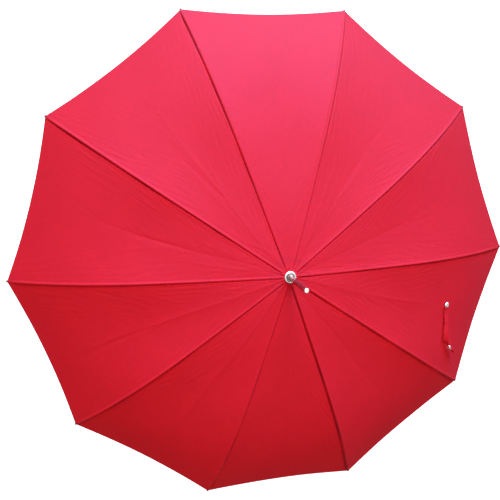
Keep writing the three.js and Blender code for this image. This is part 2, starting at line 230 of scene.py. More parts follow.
def addPiece(name, shape, look, body, replaced=(), sharp=30.0, uv=None, hard=None):
    points, quads, triangles = shape
    corners = np.concatenate([quads.ravel(), triangles.ravel()]).astype(np.int32)
    sizes = np.concatenate([np.full(len(quads), 4), np.full(len(triangles), 3)])
    mesh = bpy.data.meshes.new(name)
    mesh.vertices.add(len(points))
    mesh.vertices.foreach_set("co", (points * mm).astype(np.float32).ravel())
    mesh.loops.add(len(corners))
    mesh.loops.foreach_set("vertex_index", corners)
    mesh.polygons.add(len(sizes))
    mesh.polygons.foreach_set("loop_start", (np.cumsum(sizes) - sizes).astype(np.int32))
    mesh.polygons.foreach_set("use_smooth", np.ones(len(sizes), bool))
    mesh.update(calc_edges=True)
    if uv is not None:
        mesh.uv_layers.new(name="cloth").data.foreach_set("uv", (uv[corners] * mm).astype(np.float32).ravel())
    if hard is None:
        mesh.set_sharp_from_angle(angle=math.radians(sharp))
    else:
        ends = np.zeros(len(mesh.edges) * 2, np.int32)
        mesh.edges.foreach_get("vertices", ends)
        marked = hard[ends.reshape(-1, 2)].all(axis=1)
        mesh.attributes.new("sharp_edge", "BOOLEAN", "EDGE").data.foreach_set("value", marked)
    mesh.materials.append(look)
    piece = bpy.data.objects.new(name, mesh)
    bpy.context.scene.collection.objects.link(piece)
    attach(piece, body)
    if replaced:
        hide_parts(*replaced)
    return piece


# ---- materials ----

def linear(hexColour):
    values = [int(hexColour[index:index + 2], 16) / 255 for index in (1, 3, 5)]
    return tuple(v / 12.92 if v <= 0.04045 else ((v + 0.055) / 1.055) ** 2.4 for v in values) + (1.0,)


def addNode(tree, kind, links=None, **settings):
    # a node with its settings, and its inputs either linked or given a value
    node = tree.nodes.new(kind)
    for key, value in settings.items():
        setattr(node, key, value)
    for key, value in (links or {}).items():
        if isinstance(value, bpy.types.NodeSocket):
            tree.links.new(value, node.inputs[key])
        else:
            node.inputs[key].default_value = value
    return node


def newMaterial(name, **sockets):
    material = bpy.data.materials.new(name)
    material.use_nodes = True
    shader = material.node_tree.nodes["Principled BSDF"]
    for key, value in sockets.items():
        shader.inputs[key.replace("_", " ")].default_value = value
    return material, material.node_tree, shader


def noise(tree, place, scale, detail, **values):
    node = addNode(tree, "ShaderNodeTexNoise", {"Vector": place, "Scale": scale, "Detail": detail, **values})
    return node.outputs["Fac"]


def scaled(tree, place, scale):
    return addNode(tree, "ShaderNodeMapping", {"Vector": place, "Scale": scale}).outputs["Vector"]


def addBump(tree, shader, height, strength, distance):
    bump = addNode(tree, "ShaderNodeBump", {"Height": height, "Strength": strength, "Distance": distance})
    tree.links.new(bump.outputs["Normal"], shader.inputs["Normal"])


def ramp(tree, factor, stops):
    node = addNode(tree, "ShaderNodeValToRGB", {"Fac": factor})
    node.color_ramp.elements[0].position, node.color_ramp.elements[0].color = stops[0]
    node.color_ramp.elements[1].position, node.color_ramp.elements[1].color = stops[-1]
    for position, colour in stops[1:-1]:
        node.color_ramp.elements.new(position).color = colour
    return node.outputs["Color"]


def wovenPolyester(name, darker, lighter, grain=2.4, patch=None):
    # Dyed polyester pongee, plain weave of 0.15 mm threads: a soft sheen, faint slubs along both threads.
    # The threads are too fine to show, so the grain is drawn at a few millimetres. The colour is darkened as
    # painted shade over the round patch sewn under the crown (its radius in metres), standing for the light
    # that the doubled cloth holds back, and along the seams, where the attribute "seam" goes up to 1.
    material, tree, shader = newMaterial(name, Roughness=0.8)
    shader.inputs["Specular Tint"].default_value = (0.3, 0.42, 1.0, 1.0)
    shader.inputs["Specular IOR Level"].default_value = 0.33
    uv = addNode(tree, "ShaderNodeUVMap", uv_map="cloth").outputs["UV"]
    warp = noise(tree, scaled(tree, uv, (1, 0.12, 1)), 1000 / grain, 3.0)
    weft = noise(tree, scaled(tree, uv, (0.12, 1, 1)), 1000 / grain, 3.0)
    weave = addNode(tree, "ShaderNodeMath", {0: warp, 1: weft}, operation="ADD").outputs["Value"]
    cloudy = noise(tree, uv, 14.0, 4.0)
    tone = addNode(tree, "ShaderNodeMath", {0: weave, 1: cloudy}, operation="ADD").outputs["Value"]
    share = addNode(tree, "ShaderNodeMapRange", {"Value": tone, "From Min": 1.1, "From Max": 1.9}).outputs["Result"]
    colour = ramp(tree, share, [(0.0, linear(darker)), (1.0, linear(lighter))])
    if patch:
        # painted shade: darker inside the crown patch and along the seam attribute
        fromAxis = addNode(tree, "ShaderNodeVectorMath", {0: uv}, operation="LENGTH").outputs["Value"]
        over = addNode(tree, "ShaderNodeMapRange", {"Value": fromAxis, "From Min": patch - 0.0008, "From Max": patch,
                                                    "To Min": canopy["patchPaintedShade"], "To Max": 1.0})
        seam = addNode(tree, "ShaderNodeAttribute", attribute_name="seam").outputs["Fac"]
        seamShading = addNode(tree, "ShaderNodeMapRange", {"Value": seam, "To Min": 1.0, "To Max": canopy["seamPaintedShade"]})
        paintedShade = addNode(tree, "ShaderNodeMath", {0: over.outputs["Result"], 1: seamShading.outputs["Result"]},
                         operation="MULTIPLY").outputs["Value"]
        colour = addNode(tree, "ShaderNodeVectorMath", {0: colour, "Scale": paintedShade},
                         operation="SCALE").outputs["Vector"]
    tree.links.new(colour, shader.inputs["Base Color"])
    addBump(tree, shader, weave, 0.16, 0.0004)
    return material


def metal(name, colour, roughness, marks, scale=900.0, stretch=(1, 1, 1)):
    # fine polishing marks and a little wear in the gloss
    material, tree, shader = newMaterial(name, Metallic=1.0)
    shader.inputs["Base Color"].default_value = linear(colour)
    place = addNode(tree, "ShaderNodeTexCoord").outputs["Object"]
    scratches = noise(tree, scaled(tree, place, stretch), scale, 5.0)
    gloss = addNode(tree, "ShaderNodeMapRange", {"Value": scratches, "From Min": 0.3, "From Max": 0.7,
                                                 "To Min": roughness, "To Max": roughness + marks})
    tree.links.new(gloss.outputs["Result"], shader.inputs["Roughness"])
    addBump(tree, shader, scratches, 0.05, 0.0002)
    return material


def enamelOrPlastic(name, colour, worn, roughness, grain):
    # stoved enamel on steel, or moulded nylon: a fine skin, paler where it is rubbed
    material, tree, shader = newMaterial(name, Roughness=roughness)
    place = addNode(tree, "ShaderNodeTexCoord").outputs["Object"]
    skin = noise(tree, place, 1000 / grain, 3.0)
    rubbed = noise(tree, place, 60.0, 6.0)
    stops = [(0.35, linear(colour)), (0.8, linear(worn))]
    tree.links.new(ramp(tree, rubbed, stops), shader.inputs["Base Color"])
    addBump(tree, shader, skin, 0.12, 0.0003)
    return material


def stainedWood():
    # Steam-bent ash, stained and lacquered: long dark pores under a clear gloss. Growth rings 3 mm apart.
    material, tree, shader = newMaterial("lacqueredBentAsh", Roughness=0.32, Coat_Weight=0.6, Coat_Roughness=0.08)
    uv = addNode(tree, "ShaderNodeUVMap", uv_map="cloth").outputs["UV"]
    grainUv = scaled(tree, uv, (1, 0.035, 1))
    rings = noise(tree, grainUv, 330.0, 5.0, Distortion=0.6)
    pores = noise(tree, grainUv, 1400.0, 2.0)
    mixed = addNode(tree, "ShaderNodeMath", {0: rings, 1: pores, 2: 0.1}, operation="MULTIPLY_ADD")
    stops = [(0.2, linear("#2a120a")), (0.36, linear("#5b2c17")), (0.55, linear("#7d4425"))]
    tree.links.new(ramp(tree, mixed.outputs["Value"], stops), shader.inputs["Base Color"])
    addBump(tree, shader, pores, 0.15, 0.0003)
    return material


strapCloth = wovenPolyester("foldedPolyesterPongee", "#de0e0a", "#ea110d")
# painted shade: the turned hem is the same pongee as the canopy, drawn a darker red for the shade along the edge
shadedHemCloth = wovenPolyester("shadedHemPongee", "#9a0808", "#a50a0a")
thread = wovenPolyester("spunPolyesterThread", "#9c0f24", "#b3152c", 0.8)
# painted reflection: the steel is tinted a dark mauve-pink for the red canopy it reflects
reflectionTintedSteel = metal("reflectionTintedSteelTube", "#a37f8c", 0.24, 0.06, stretch=(1, 1, 0.05))
chromePlate = metal("chromePlatedBrass", "#e4e4e6", 0.04, 0.06)
satinNickel = metal("satinNickelPlate", "#f6f1ea", 0.38, 0.1)
# painted shade: a darker copy of the cap's nickel, for the dark reflections inside the ring
shadedNickel = metal("shadedNickelPlate", "#958a86", 0.4, 0.04)
springSteel = metal("bluedSpringSteel", "#8a8c90", 0.25, 0.12)
ribEnamel = enamelOrPlastic("blackStovedEnamel", "#101114", "#24262b", 0.34, 0.9)
nylon = enamelOrPlastic("mouldedBlackNylon", "#111214", "#1c1d20", 0.46, 0.6)
bentAsh = stainedWood()
print("materials ready")

# ---- canopy ----

canopy = {
    "rise": 2.9,            # upper face above the rib's centre line
    "thickness": 0.25,
    "sagHem": 2.2,          # at the middle of the hem, which is pulled tight
    "sagMiddle": 8.0,       # deepest part of the hollow between two ribs
    "sagPlace": 0.57,
    "sagSpread": 0.24,
    "hemRadius": 519.0,
    "hemScallop": 10.0,
    "innerStart": 9.6,      # under the cap
    "rows": {"inner": 64, "outer": 92},
    "columns": {"seam": 16, "side": 88},
    "seamHalf": 2.6,        # half the width of the strip of cloth along a rib, which is a piece of its own
    "keep": {"inner": 0.036, "outer": 0.052},    # share of the width that the rest of the panel keeps
    "drop": 1.4,            # from the rib's crest to the cloth beside it
    "ridgeWidth": 2.0,
    "rolls": [1.0, 0.9, 0.6, 0.9, 0.9, -1.6, -1.2, -0.9, -0.8, -0.2],   # of the seam to one side, for each rib
    "rollDepth": 0.3,
    "stepDepth": 2.2,
    "stepStart": 1.7,
    "stepWidth": 2.2,
    "grooveDepth": 2.3,     # along the stitches at the foot of the step
    "groovePlace": 3.9,
    "grooveWidth": 0.85,
    "ties": (150.0, 354.0, 440.0),
    "tieDip": 0.3,
    "seamWidth": 6.4,       # turning of the seam, pressed to one side of the rib
    "seamStep": 0.4,
    # painted shade: colour factors inside the crown patch and along the foot of each seam
    "patchRadius": 0.039,
    "patchPaintedShade": 0.93,
    "seamPaintedShade": 0.4,
}
folds = {
    "crease": (0.7, 1.2),       # height of the storage crease down the middle of a gore
    "creaseEnd": (330, 430),
    "wander": 2.5,
    "crownCreases": 6,
    "crownCrease": 0.45,
    "drags": 9,
    "drag": 0.3,
    "dragWidth": (2.6, 4.5),
    "pleat": 1.7,               # round the cap
    "soft": 0.6,                # broad unevenness
    "streaks": 10,
    "streak": 0.17,
}
canopyCloth = wovenPolyester("wovenPolyesterPongee", "#de0e0a", "#ea110d", patch=canopy["patchRadius"])


def smoothNoise(x, y, seed, wavelength):
    # a sum of sines in random directions, about 1 high, and repeatable
    rng = np.random.default_rng(seed)
    total = np.zeros_like(x)
    for _ in range(6):
        angle, phase, scale = rng.uniform(0, 2 * math.pi), rng.uniform(0, 2 * math.pi), rng.uniform(0.7, 1.5)
        step = 2 * math.pi / (wavelength * scale)
        total += np.sin(step * (x * math.cos(angle) + y * math.sin(angle)) + phase)
    return total / 3


def chordShare(v):
    # v runs from -1 to 1 across a rib's panels; the share is how far along the chord to the next rib
    sine = math.sin(halfGore) ** 2
    return np.abs(v) / (2 * (1 - sine + np.abs(v) * sine))


def ridgeProfile(t, r, rib):
    # The cloth lies over the rib in a narrow ridge. The seam has rolled to one side of it, where the cloth
    # drops in a steep step just past the rib, folds into a narrow groove along the stitches and evens out
    # again over some 20 mm. The seam's turning makes a low step beside its stitches, and each tie to the rib
    # pulls the cloth down a little.
    reach = np.clip((r - 9) / 16, 0, 1) * np.clip((canopy["hemRadius"] + 2 - r) / 25, 0.2, 1)
    distance = np.abs(t)
    out = r / ribTipX
    roll = canopy["rolls"][rib]
    rolled = np.sign(t) * roll > 0
    tied = sum(np.exp(-((r - place) / 4) ** 2) for place in canopy["ties"])
    towardsMiddle = np.clip(2 * distance / (r * math.sin(gore)), 0, 1)
    evened = np.exp(-distance / 25) * (1 - towardsMiddle ** 2) ** 2
    drop = canopy["drop"] + canopy["rollDepth"] * np.sign(t) * roll * evened
    width = canopy["ridgeWidth"] * (0.8 + 0.4 * out)
    ridge = drop * (0.75 + 0.35 * out) * (np.exp(-(distance / width) ** 2) - 1)
    uneven = 0.8 + 0.35 * np.sin(r / 37 + 2.1 * rib) * np.sin(r / 61 + rib)
    start = canopy["stepStart"] + 0.5 * tied
    fall = np.clip((distance - start) / (canopy["stepWidth"] * (0.8 + 0.8 * out) + 0.5 * tied), 0, 1)
    depth = canopy["stepDepth"] * np.where(rolled, abs(roll), 0.12) * (0.35 + 0.7 * out) * uneven
    step = depth * fall * fall * (3 - 2 * fall) * np.exp(-np.clip(distance - start, 0, None) / 14)
    turning = canopy["seamStep"] * 0.5 * (1 + np.tanh((canopy["seamWidth"] - t) / 0.5)) * (t > 0)
    stitches = canopy["seamStep"] * np.exp(-((t - canopy["seamWidth"] + 1.6) / 0.7) ** 2)
    dips = canopy["tieDip"] * tied * np.exp(-(distance / 7) ** 2)
    place, width = canopy["groovePlace"] * (0.9 + 0.2 * out) + 0.4 * tied, canopy["grooveWidth"] * (0.8 + 0.6 * out)
    deep = canopy["grooveDepth"] * np.where(rolled, abs(roll), 0.1) * (0.4 + 0.7 * out) * uneven
    step += deep * np.exp(-((distance - place) / width) ** 2)
    step *= (1 - towardsMiddle ** 2) ** 2
    return reach * (ridge - step + turning * np.clip(t / 2, 0, 1) - stitches - dips)


def seamShade(t, r, rib):
    # the shade of the groove at the foot of the step beside the rib, where the seam is folded double, painted into
    # the cloth's colour: 1 there and 0 away from it
    roll = canopy["rolls"][rib]
    out = r / ribTipX
    width = (0.7 + 1.3 * out) * (0.7 + 0.5 * abs(roll))
    place = 2.6 + 0.6 * out
    strength = min(abs(roll), 1) * (0.55 + 0.45 * np.sin(r / 23 + rib) * np.sin(r / 51 + 2 * rib) ** 2)
    return np.clip(strength, 0, 1) * np.exp(-((np.sign(roll) * t - place) / width) ** 2)


def goreFolds(along, across, index, r):
    # folds of one gore, in its own plane: `along` from the shaft, `across` from its middle line
    rng = np.random.default_rng(400 + index)
    total = np.zeros_like(along)
    # the crease down the middle, from storage, fades towards the hem
    crease = rng.choice([-1, 1]) * rng.uniform(*folds["crease"])
    wander = smoothNoise(along, 0 * along, 900 + index, 260) * folds["wander"] + rng.uniform(-4, 4) * along / 500
    fade = np.clip((rng.uniform(*folds["creaseEnd"]) - along) / 120, 0, 1) * np.clip((along - 16) / 30, 0, 1)
    away = np.abs(across - wander)
    total += crease * fade * (0.8 * np.exp(-away / 18) + 0.3 * np.exp(-away / 3))
    # thin straight creases that run out from the crown
    for _ in range(folds["crownCreases"]):
        slope, offset = rng.uniform(-0.24, 0.24), rng.uniform(-2, 2)
        start, length = rng.uniform(18, 110), rng.uniform(60, 190)
        away = np.abs(across - slope * along - offset)
        ends = np.clip((along - start) / 25, 0, 1) * np.clip((start + length - along) / 60, 0, 1)
        height = rng.uniform(-folds["crownCrease"], folds["crownCrease"])
        total += height * ends * (0.6 * np.exp(-away / 7) + 0.4 * np.exp(-away / 2))
    # a fan of fine drag lines that opens from the crease towards the hem
    for _ in range(folds["drags"]):
        start, length = rng.uniform(150, 330), rng.uniform(70, 160)
        angle = rng.uniform(-0.45, 0.45)
        width, height = rng.uniform(*folds["dragWidth"]), rng.uniform(-folds["drag"], folds["drag"])
        forward = (along - start) * math.cos(angle) + across * math.sin(angle)
        sideways = across * math.cos(angle) - (along - start) * math.sin(angle)
        ends = np.clip(forward / 25, 0, 1) * np.clip((length - forward) / 50, 0, 1)
        total += height * ends * np.exp(-(sideways / width) ** 2)
    # pleats close round the cap
    near = np.exp(-np.clip(r - 9, 0, None) / 14)
    total += near * folds["pleat"] * np.sin(across / np.maximum(along, 1) * 21 + rng.uniform(0, 6))
    return total


def ribStreaks(distance, r, seed):
    # fine tension streaks beside a rib and nearly parallel to it
    rng = np.random.default_rng(seed)
    total = np.zeros_like(r)
    for _ in range(folds["streaks"]):
        wavelength, lean = rng.uniform(6, 16), rng.uniform(-0.05, 0.45)
        phase = 2 * math.pi * (distance + lean * (r - 260)) / wavelength + rng.uniform(0, 6)
        patch = np.clip(smoothNoise(r, distance * 2, rng.integers(1e6), 110) - 0.25, 0, 1)
        total += folds["streak"] * patch * np.sin(phase)
    depth = 12 + 42 * np.clip(r / 260, 0, 1)
    return total * np.exp(-distance / depth) * np.clip((distance - 3) / 5, 0, 1)


def clothHeight(x, t, rib):
    # upper face of the cloth at x along rib number `rib` (from 0) and t across it
    distance = np.abs(t)
    r = x + distance * tanHalf
    share = distance / (r * math.sin(gore))
    middle = 4 * share * (1 - share)
    out = r / ribTipX
    hollow = canopy["sagMiddle"] * np.exp(-((out - canopy["sagPlace"]) / canopy["sagSpread"]) ** 2)
    height = ribHeight(r) + canopy["rise"] - (hollow + canopy["sagHem"] * out ** 2) * middle
    height += ridgeProfile(t, r, rib)
    anchored = np.clip(distance / 8, 0, 1) * np.clip(1 - np.exp(-distance / 6), 0, 1)
    for side in (-1, 1):
        here = (t * side >= 0)
        index = rib if side > 0 else (rib - 1) % ribCount
        along = r * math.cos(halfGore)
        across = (share - 0.5) * side * 2 * r * math.sin(halfGore)
        broad = folds["soft"] * smoothNoise(along, across, 40 + index, 170) * middle
        creased = goreFolds(along, across, index, r) + broad
        streaks = ribStreaks(distance, r, 70 + 2 * rib + (side > 0))
        other = 2 * r * math.sin(halfGore) - distance
        beyond = ribStreaks(np.maximum(other, 0), r, 70 + 2 * ((rib + side) % ribCount) + (side < 0))
        height += np.where(here, creased * anchored + streaks + beyond, 0)
    return height


def hemX(v):
    share = chordShare(v)
    return (canopy["hemRadius"] - canopy["hemScallop"] * 4 * share * (1 - share)) / (1 + np.abs(v) * tanHalf ** 2)


def placesAcross(place, count):
    # Columns of the seam (place 0) or of the cloth on one side of it (place -1 or 1): v, which runs from -1
    # to 1 across the rib's panels, and the share of the way over that part
    edge = canopy["seamHalf"] / (canopy["hemRadius"] * tanHalf)
    if place == 0:
        share = np.linspace(-1, 1, count + 1)
        return share * edge, share
    share = np.linspace(0, 1, count + 1) ** 1.3
    share = share[::-1] if place < 0 else share
    return place * (edge + (1 - edge) * share), share


def acrossAt(x, share, place):
    edge = np.minimum(canopy["seamHalf"], 0.8 * x * tanHalf)
    return share * edge if place == 0 else place * (edge + (x * tanHalf - edge) * share)


def sheetOf(x, t, z, thickness):
    # an upper and a lower layer and a rim, and which points stand on the rim
    rows, columns = x.shape
    upper = np.stack([x, t, z], axis=-1).reshape(-1, 3)
    lower = upper - (0, 0, thickness)
    count = rows * columns
    top = gridQuads(rows, columns)
    inside = gridQuads(rows, columns, start=count)[:, ::-1]
    index = np.arange(count).reshape(rows, columns)
    loop = np.concatenate([index[0, :-1], index[:-1, -1], index[-1, :0:-1], index[:0:-1, 0]])
    rim = between(loop, np.roll(loop, -1), count)
    edge = np.zeros(2 * count, bool)
    edge[loop] = edge[loop + count] = True
    uv = np.tile(np.stack([t, x], axis=-1).reshape(-1, 2), (2, 1))
    return (np.concatenate([upper, lower]), np.concatenate([top, inside, rim]), noTriangles), edge, uv


def gathers(piece, place):
    # the cloth beside a seam gets a mesh of its own
    if place:
        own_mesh(piece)


sideNames = {0: "seam", -1: "right", 1: "left"}
hem = {"width": 7.0, "thickness": 0.35, "below": 0.12, "showing": 0.9}


def addHem(rib, place):
    # the turned edge lies under the cloth, along the scalloped rim; it shows just past the cloth's edge, coloured
    # darker as painted shade
    v, share = placesAcross(place, 60 if place else 16)
    fold = np.linspace(hem["width"], 0, 4)[:, None]
    x = hemX(v) + hem["showing"] - fold
    t = acrossAt(x, share, place)
    z = clothHeight(x, t, rib) - canopy["thickness"] - hem["below"]
    shape, edge, uv = sheetOf(x, t, z, hem["thickness"])
    number = f"{rib + 1:02d}"
    piece = addPiece(f"hem_{sideNames[place]}_{number}", atRib(shape, rib), shadedHemCloth, f"rib_outer_{number}",
                     uv=uv, hard=edge)
    gathers(piece, place)
    return piece


def addPanel(rib, part, place):
    number = f"{rib + 1:02d}"
    v, share = placesAcross(place, canopy["columns"]["side" if place else "seam"])
    down = np.linspace(0, 1, canopy["rows"][part] + 1)[:, None]
    if part == "inner":
        x = canopy["innerStart"] + (ribJoint[0] - canopy["innerStart"]) * down ** 1.3 + 0 * v
    else:
        x = ribJoint[0] + (hemX(v) - ribJoint[0]) * down
    t = acrossAt(x, share, place)
    shape, edge, uv = sheetOf(x, t, clothHeight(x, t, rib), canopy["thickness"])
    piece = addPiece(f"canopy_{part}_{sideNames[place]}_{number}", atRib(shape, rib), canopyCloth,
                     f"rib_{part}_{number}", [] if place else [f"canopy_{part}_{number}"],
                     uv=uv, hard=edge)
    # painted shade along the foot of each seam, kept in the attribute "seam"
    shade = np.tile(seamShade(t, x + np.abs(t) * tanHalf, rib).ravel(), 2).astype(np.float32)
    piece.data.attributes.new("seam", "FLOAT", "POINT").data.foreach_set("value", shade)
    [addHem(rib, place)] if part == "outer" else []
    gathers(piece, place)


for rib in range(ribCount):
    for part in ("inner", "outer"):
        for place in (0, -1, 1):
            addPanel(rib, part, place)
print("canopy ready")

# ---- rib tips ----

tipCap = {"radius": 2.3, "length": 13.0}


def ribPoint(x):
    return np.stack([x, 0 * x, ribHeight(x)], axis=-1)


def addTipCap(rib):
    # a moulded cap over the rib's end, sewn to the corner of the cloth
    reach = tipCap["radius"]
    outward = np.array([math.cos(tipSlope), 0, -math.sin(tipSlope)])
    end = ribPoint(ribTipX)
    foot = 4 - tipCap["length"]
    profile = [(0, foot), (1.7, foot), (1.95, foot + 0.6), (1.95, -2.4)]
    profile += [(reach * math.cos(a), reach * math.sin(a)) for a in np.linspace(-0.7, math.pi / 2 - 0.05, 9)]
    profile += [(0, reach)]
    cap = turned(profile, 24, end, outward)
    eye = turned([(1.3, -0.5), (2.6, -0.5), (2.6, 0.5), (1.3, 0.5), (1.3, -0.5)], 20,
                 end - outward * 5 + (0, 0, 0.2), (0, 1, 0))
    number = f"{rib + 1:02d}"
    addPiece(f"rib_tip_{number}", atRib(joined([cap, eye]), rib), nylon, f"rib_outer_{number}")


for rib in range(ribCount):
    addTipCap(rib)
print("rib tips ready")

# ---- ribs and stretchers ----

link = {"eye": 2.0, "hole": 0.95, "tongue": 1.5, "pin": 0.95, "cheek": 0.85, "gap": 2.0, "neck": 9.0}
ribBar = {"width": 3.3, "depth": 2.9, "wall": 0.45}
stretcherBar = {"width": 2.9, "depth": 2.5, "wall": 0.4}
rod = {"radius": 1.45}


def flat(x, z):
    return np.array([x, 0.0, z])


def eyeRing(centre, radius, hole, low, high):
    # a round end with a hole, from low to high across the link's plane
    bevel = 0.12
    profile = [(hole, low), (radius - bevel, low), (radius, low + bevel), (radius, high - bevel),
               (radius - bevel, high), (hole, high), (hole, low)]
    return turned(profile, 28, centre, (0, 1, 0))


def rivet(centre, radius, length, head=1.55):
    # a shank with a low domed head on each side
    rise = 0.5
    dome = [(head * math.cos(a), length / 2 + rise * math.sin(a)) for a in np.linspace(0, math.pi / 2, 6)[:-1]]
    profile = [(0, -length / 2 - rise)] + [(r, -h) for r, h in dome[::-1]] + [(radius, -length / 2)]
    profile += [(radius, length / 2)] + dome + [(0, length / 2 + rise)]
    return turned(profile, 20, centre, (0, 1, 0))


def strut(start, end, width, height, offset=0.0):
    # a short flat bar between two points of the link's plane
    path = np.linspace(start, end, 3) + (0, offset, 0)
    return swept(path, barSection(width, height, 0.15))


def forkEnd(centre, towards, reach):
    direction = (towards - centre) / np.linalg.norm(towards - centre)
    parts = []
    for side in (-1, 1):
        middle = side * (link["gap"] + link["cheek"]) / 2
        low, high = middle - link["cheek"] / 2, middle + link["cheek"] / 2
        parts.append(eyeRing(centre, link["eye"], link["pin"], low, high))
        parts.append(strut(centre + direction * 0.9, centre + direction * reach, link["cheek"], 3.0, middle))
    parts.append(rivet(centre, link["pin"], link["gap"] + 2 * link["cheek"]))
    return parts


def tongueEnd(centre, towards, reach, height):
    direction = (towards - centre) / np.linalg.norm(towards - centre)
    half = link["tongue"] / 2
    return [eyeRing(centre, link["eye"], link["hole"], -half, half),
            strut(centre + direction * 1.2, centre + direction * reach, link["tongue"], height)]


crown3 = flat(crownPivot[0], crownPivot[2])
joint3 = flat(ribJoint[0], ribJoint[2])
bracket3 = flat(bracketPivot[0], bracketPivot[2])
runner3 = flat(runnerPivot[0], runnerPivot[2])


def pinched(count, tight=0.55, length=4):
    # section sizes of a folded channel that is pressed narrow at both ends
    index = np.arange(count)
    share = np.clip(np.minimum(index, count - 1 - index) / length, 0, 1)
    return np.stack([tight + (1 - tight) * share, np.ones(count)], axis=-1)


def innerRibShape():
    x = np.linspace(crownPivot[0] + 6.5, ribJoint[0] - 7.5, 40)
    bar = swept(ribPoint(x), channelSection(*ribBar.values()), sizes=pinched(40, 0.62))
    inward, outward = ribPoint(ribJoint[0] - 12.0), ribPoint(crownPivot[0] + 12.0)
    lugTop = ribPoint(ribJoint[0] - 10.0)
    half = 0.7
    lug = [eyeRing(bracket3, link["eye"], link["pin"] + 0.2, -half, half),
           strut(lugTop + (1.5, 0, 0), bracket3 + (-1.0, 0, 1.5), 1.35, 4.2)]
    clamp = ribPoint(np.linspace(ribJoint[0] - 17, ribJoint[0] - 4, 4))
    sleeveShape = swept(clamp, channelSection(3.8, 3.2, 0.35))
    rivets = [rivet(ribPoint(ribJoint[0] - d), 0.8, 3.7, 1.0) for d in (14.5, 7.5)]
    return joined([bar, *tongueEnd(crown3, outward, link["neck"], 2.7), *forkEnd(joint3, inward, link["neck"]),
                   *lug, sleeveShape, *rivets])


def outerRibShape():
    x = np.linspace(ribJoint[0] + 7, ribTipX - 1.5, 64)
    bar = swept(ribPoint(x), roundSection(rod["radius"], 16))
    outward = ribPoint(ribJoint[0] + 12.0)
    ferrule = swept(ribPoint(np.linspace(ribJoint[0] + 6, ribJoint[0] + 16, 4)), roundSection(1.75, 16))
    return joined([bar, ferrule, *tongueEnd(joint3, outward, link["neck"], 2.5)])


def stretcherShape():
    direction = (runner3 - bracket3) / np.linalg.norm(runner3 - bracket3)
    path = np.linspace(bracket3 + direction * 6.8, runner3 - direction * 6.8, 36)
    bar = swept(path, channelSection(*stretcherBar.values()), sizes=pinched(36, 0.66))
    return joined([bar, *forkEnd(bracket3, runner3, link["neck"]), *tongueEnd(runner3, bracket3, link["neck"], 2.3)])


def tieShape(xPlace, radius):
    # a few turns of thread round the rib and through the seam
    centre = ribPoint(xPlace)
    slope = math.atan2(ribHeight(xPlace - 1) - ribHeight(xPlace + 1), 2)
    axis = (math.cos(slope), 0, -math.sin(slope))
    rings = []
    for step in (-0.9, 0, 0.9):
        angles = np.linspace(0, 2 * math.pi, 9)
        profile = [(radius + 0.3 * math.cos(a), step + 0.3 * math.sin(a)) for a in -angles]
        profile[-1] = profile[0]
        rings.append(turned(profile[::-1], 20, centre, axis))
    return joined(rings)


linkShapes = {"rib_inner": innerRibShape(), "rib_outer": outerRibShape(), "stretcher": stretcherShape()}
tieShapes = {"rib_inner": tieShape(150.0, 2.0), "rib_outer": joined([tieShape(354.0, 1.8), tieShape(440.0, 1.8)])}
for rib in range(ribCount):
    number = f"{rib + 1:02d}"
    for kind, shape in linkShapes.items():
        addPiece(f"{kind}_steel_{number}", atRib(shape, rib), ribEnamel, f"{kind}_{number}",
                 [f"{kind}_{number}"])
    for kind, shape in tieShapes.items():
        addPiece(f"{kind}_ties_{number}", atRib(shape, rib), thread, f"{kind}_{number}",
                 uv=shape[0][:, :2])
print("ribs and stretchers ready")

# ---- shaft, crown, runner, catches ----

hub = {"bore": 4.3, "slotFloor": 6.3, "radius": 11.5, "below": 4.5, "above": 2.0, "slotWidth": 2.2, "wire": 0.6}
sleeve = {"radius": 8.5, "length": 38.0}
tube = {"radius": 4.0, "wall": 0.8}
noseAzimuth = math.radians(18)
catchNose = {"height": 8.0, "width": 1.6, "topFace": 532.8, "bottomFace": 138.0}


def arcRun(count, start, end, radius, centre=(0, 0)):
    angles = np.radians(np.linspace(start, end, count))
    return [(centre[0] + radius * math.cos(a), centre[1] + radius * math.sin(a)) for a in angles]


def notchedRing(bottom, top):
    # a ring whose outside steps in to the slot floor at each slot: rings of points at the same angles, at the
    # bore and at the outside, for the bottom, the bevel and the top
    angles, reach = [], []
    for slotIndex in range(ribCount):
        middle = slotIndex * gore
        outerHalf = math.asin(hub["slotWidth"] / 2 / hub["radius"])
        floorHalf = math.asin(hub["slotWidth"] / 2 / hub["slotFloor"])
        angles += [middle - floorHalf, middle - floorHalf / 3, middle + floorHalf / 3, middle + floorHalf]
        reach += [hub["slotFloor"]] * 4
        teeth = np.linspace(middle + outerHalf, middle + gore - outerHalf, 9)
        angles += list(teeth)
        reach += [hub["radius"]] * 9
    angles, reach = np.array(angles), np.array(reach)
    rounded = np.where(reach > hub["slotFloor"], 0.5, 0.0)
    rows = [(0 * reach + hub["bore"], bottom), (reach - rounded, bottom), (reach, bottom + 0.5),
            (reach, top - 0.5), (reach - rounded, top), (0 * reach + hub["bore"], top)]
    points = np.stack([polar(r, angles, z) for r, z in rows])
    count = points.shape[1]
    points = points.reshape(-1, 3)
    return points, gridQuads(len(rows) + 1, count, wrap=True)[:, ::-1] % len(points), noTriangles


def wireRing(height):
    profile = [(runnerPivot[0] + hub["wire"] * math.cos(a), height + hub["wire"] * math.sin(a))
               for a in np.linspace(0, 2 * math.pi, 11)]
    profile[-1] = profile[0]
    return turned(profile, 80)


def addHub(name, height, parts, body):
    ring = notchedRing(height - hub["below"], height + hub["above"])
    addPiece(name, joined([ring, *parts]), nylon, body, [name.replace("_nylon", "")])
    addPiece(name.replace("_nylon", "_wire"), wireRing(height), springSteel, body)


